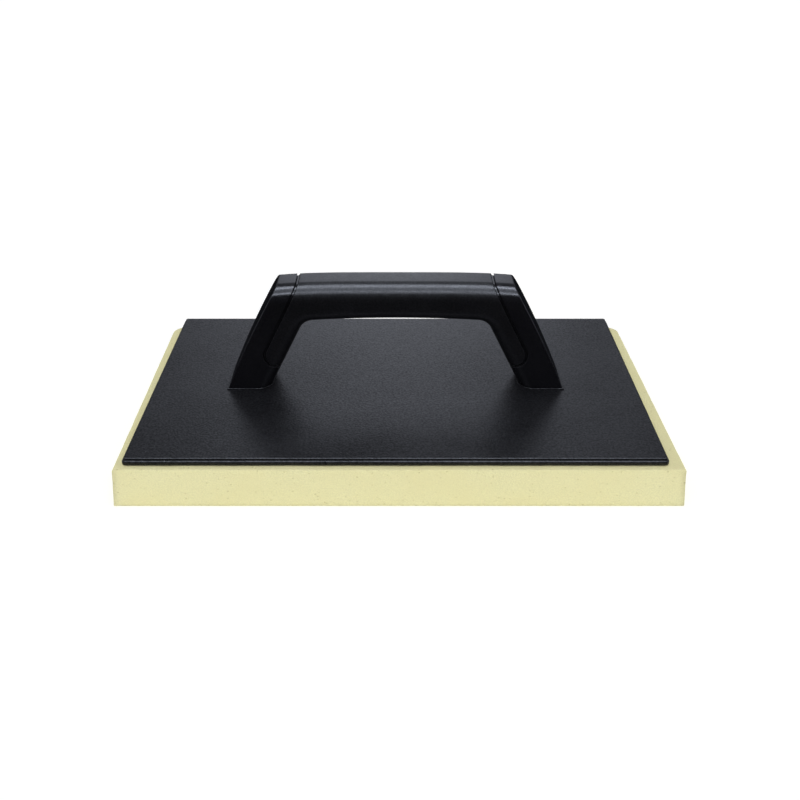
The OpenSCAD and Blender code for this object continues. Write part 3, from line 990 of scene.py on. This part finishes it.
class FLOAT_OT_screws(bpy.types.Operator):
    """Build one threaded countersunk screw and stand a copy in each bore"""

    bl_idname = "float_parts.screws"
    bl_label = "Handle Screws"

    def screw(self, sizes):
        """One screw, head down, standing on the plate's underside."""
        tall = SCREW_HIGH.z - SCREW_LOW.z
        cone = (sizes.head - sizes.thread) / 2
        turns, start = 24, cone + 0.4 * MM
        step = 0.225 * MM
        heights = [start + step * i for i in range(int((tall - start) / step) + 1)]
        rings = []
        for radius, z in ((sizes.head / 2, 0.0), (sizes.core / 2 + 0.3 * MM, cone + 0.2 * MM)):
            rings.append([(radius, 2 * math.pi * i / turns, z) for i in range(turns)])
        for z in heights:
            ring = []
            for i in range(turns):
                turn = 2 * math.pi * i / turns
                phase = (z / sizes.pitch - i / turns) % 1.0
                ridge = max(0.0, 1.0 - abs(phase - 0.5) / 0.28)
                taper = min(1.0, (tall - z) / (2.2 * MM) + 0.12)
                radius = (sizes.core + (sizes.thread - sizes.core) * ridge) / 2 * taper
                ring.append((radius, turn, z))
            rings.append(ring)
        shell = [[Vector((r * math.cos(t), r * math.sin(t), z)) for r, t, z in ring] for ring in rings]
        return lofted("screw", shell)

    def tree(self):
        """A node tree that stands a copy of the screw at each point of a mesh."""
        tree, given = new_tree("screw set", Screw="Object", Turn="Float", Finish="Material")
        shape = put(tree, "GeometryNodeObjectInfo", None, {"Object": given["Screw"]})
        index = put(tree, "GeometryNodeInputIndex").outputs[0]
        twist = maths(tree, "MULTIPLY", index, given["Turn"])
        turn = put(tree, "ShaderNodeCombineXYZ", None, {"Z": twist}).outputs[0]
        stand = {"Points": given["Geometry"], "Instance": shape.outputs["Geometry"], "Rotation": turn}
        spots = put(tree, "GeometryNodeInstanceOnPoints", None, stand)
        return close_tree(tree, spots.outputs[0], given["Finish"])

    def execute(self, context):
        sizes = context.scene.float_screws
        form = HandleForm(context.scene.float_handle)
        screw = self.screw(sizes)
        arm, thin = sizes.thread / 2, sizes.thread / 8
        combine(screw, block((-arm, -thin, -1 * MM), (arm, thin, sizes.recess)), "DIFFERENCE")
        combine(screw, block((-thin, -arm, -1 * MM), (thin, arm, sizes.recess)), "DIFFERENCE")
        smooth(screw, 40.0)
        mesh = bpy.data.meshes.new("fixing_screws")
        mesh.from_pydata([(x, y, SCREW_LOW.z) for x, y in form.screw_places()], [], [])
        screws = made_object("fixing_screws", mesh)
        material = zinc_finish(sizes.colour)
        run_tree(screws, self.tree(), Screw=screw, Turn=0.6, Finish=material)
        discard(screw)
        finish_piece(screws, material, "screw_steel", "handle_screws")
        return {"FINISHED"}


class FLOAT_OT_stage(bpy.types.Operator):
    """Set up the floor, the light and the camera"""

    bl_idname = "float_parts.stage"
    bl_label = "Stage"

    def softbox(self, name, place, aim, width, depth, power):
        """A softbox at a place, turned to a point, that only shows in reflections."""
        data = bpy.data.lights.new(name, "AREA")
        data.shape = "RECTANGLE"
        data.size = width
        data.size_y = depth
        data.energy = power
        data.color = (0.80, 0.86, 1.0)
        lamp = bpy.data.objects.new(name, data)
        lamp.location = place
        lamp.rotation_euler = (Vector(aim) - Vector(place)).to_track_quat("-Z", "Y").to_euler()
        lamp.visible_diffuse = False
        bpy.context.scene.collection.objects.link(lamp)

    def sun(self, name, elevation, spread_angle, strength):
        """An even light from the front that leaves no mark in reflections."""
        data = bpy.data.lights.new(name, "SUN")
        data.energy = strength
        data.angle = spread_angle
        sun = bpy.data.objects.new(name, data)
        sun.rotation_euler = (math.pi / 2 - elevation, 0.0, 0.0)
        sun.visible_glossy = False
        bpy.context.scene.collection.objects.link(sun)

    def sky(self, scene, sizes):
        """A studio: in reflections a wall behind that fades upwards and to the sides, else an even fill."""
        world = bpy.data.worlds.new("studio")
        scene.world = world
        world.use_nodes = True
        tree = world.node_tree
        tree.nodes.clear()
        way = put(tree, "ShaderNodeTexCoord").outputs["Generated"]
        parts = put(tree, "ShaderNodeSeparateXYZ", None, {0: way})
        behind = spread(tree, parts.outputs[1], 0.0, 0.6, 0.02, 1.0)
        above = spread(tree, parts.outputs[2], 0.02, 0.16, 0.0, 1.0)
        upwards = spread(tree, parts.outputs[2], 0.36, 0.75, 1.0, 0.35)
        aside = maths(tree, "ABSOLUTE", parts.outputs[0])
        sideways = spread(tree, aside, 0.03, 0.26, 1.0, 0.26)
        glow = maths(tree, "MULTIPLY", maths(tree, "MULTIPLY", behind, above), sizes.back_glow)
        glow = maths(tree, "MULTIPLY", maths(tree, "MULTIPLY", upwards, sideways), glow)
        walls = spread(tree, aside, 0.70, 0.90, 0.0, sizes.side_glow)
        walls = maths(tree, "MULTIPLY", walls, spread(tree, parts.outputs[2], -0.1, 0.05, 0.0, 1.0))
        glow = maths(tree, "MAXIMUM", glow, walls)
        gloss = put(tree, "ShaderNodeBackground", None, {"Color": (0.84, 0.88, 1.0, 1.0), "Strength": glow})
        white = (1.0, 1.0, 1.0, 1.0)
        fill = put(tree, "ShaderNodeBackground", None, {"Color": white, "Strength": sizes.fill})
        plain = put(tree, "ShaderNodeBackground", None, {"Color": white, "Strength": 1.0})
        ray = put(tree, "ShaderNodeLightPath").outputs
        either = {0: ray["Is Glossy Ray"], 1: fill.outputs[0], 2: gloss.outputs[0]}
        shade = put(tree, "ShaderNodeMixShader", None, either).outputs[0]
        either = {0: ray["Is Camera Ray"], 1: shade, 2: plain.outputs[0]}
        seen = put(tree, "ShaderNodeMixShader", None, either)
        out = put(tree, "ShaderNodeOutputWorld")
        tree.links.new(seen.outputs[0], out.inputs["Surface"])

    def execute(self, context):
        scene = context.scene
        sizes = scene.float_stage
        floor = block((-3.0, -3.0, -0.01), (3.0, 3.0, -0.0002))
        floor.name = "studio_floor"
        floor.data.materials.append(floor_finish(sizes.floor_colour, sizes.floor_glow))
        floor.visible_glossy = False
        self.sky(scene, sizes)
        aim = Vector((0.0, 0.0, 0.08))
        for name, degrees, away, depth, power in (
            ("top softbox", 96, 1.2, 0.26, sizes.top_light),
            ("diffuser", 75, 1.25, 0.80, sizes.between_light),
            ("front softbox", 55, 1.2, 0.18, sizes.front_light),
        ):
            turn = math.radians(degrees)
            place = aim + Vector((0.0, -math.cos(turn), math.sin(turn))) * away
            self.softbox(name, place, aim, 1.4, depth, power)
        self.sun("even light", math.radians(58), math.radians(50), sizes.even_light)
        data = bpy.data.cameras.new("camera")
        data.lens = sizes.lens
        data.sensor_width = 36.0
        data.shift_x = sizes.slide
        data.clip_start = 0.01
        data.clip_end = 20.0
        camera = bpy.data.objects.new("camera", data)
        camera.location = (0.0, -sizes.camera_back, sizes.camera_up)
        camera.rotation_euler = (math.pi / 2 - sizes.pitch, 0.0, 0.0)
        scene.collection.objects.link(camera)
        scene.camera = camera
        scene.view_settings.view_transform = "Standard"
        scene.view_settings.look = "None"
        return {"FINISHED"}


class FLOAT_PT_panel(bpy.types.Panel):
    """Sizes and pieces of the grout float"""

    bl_idname = "FLOAT_PT_panel"
    bl_label = "Grout Float"
    bl_space_type = "VIEW_3D"
    bl_region_type = "UI"
    bl_category = "Grout Float"

    def draw(self, context):
        for key, group in SIZES.items():
            box = self.layout.box()
            box.label(text=key.removeprefix("float_").title())
            for name in group.__annotations__:
                box.prop(getattr(context.scene, key), name)
        for operator in OPERATORS:
            self.layout.operator(operator.bl_idname)


SIZES = {
    "float_pad": FLOAT_PG_pad,
    "float_plate": FLOAT_PG_plate,
    "float_handle": FLOAT_PG_handle,
    "float_screws": FLOAT_PG_screws,
    "float_stage": FLOAT_PG_stage,
}
OPERATORS = (
    FLOAT_OT_foam_pad,
    FLOAT_OT_adhesive_film,
    FLOAT_OT_base_plate,
    FLOAT_OT_pin_marks,
    FLOAT_OT_handle_frame,
    FLOAT_OT_closing_strip,
    FLOAT_OT_grip_cover,
    FLOAT_OT_screws,
    FLOAT_OT_stage,
)


def register():
    for group in SIZES.values():
        bpy.utils.register_class(group)
    for key, group in SIZES.items():
        setattr(bpy.types.Scene, key, bpy.props.PointerProperty(type=group))
    for item in (*OPERATORS, FLOAT_PT_panel):
        bpy.utils.register_class(item)


def unregister():
    for item in (FLOAT_PT_panel, *reversed(OPERATORS)):
        bpy.utils.unregister_class(item)
    for key, group in SIZES.items():
        delattr(bpy.types.Scene, key)
        bpy.utils.unregister_class(group)


def main():
    """Builds every piece and the stage."""
    register()
    for operator in OPERATORS:
        group, name = operator.bl_idname.split(".")
        getattr(getattr(bpy.ops, group), name)()


if __name__ == "__main__":
    main()
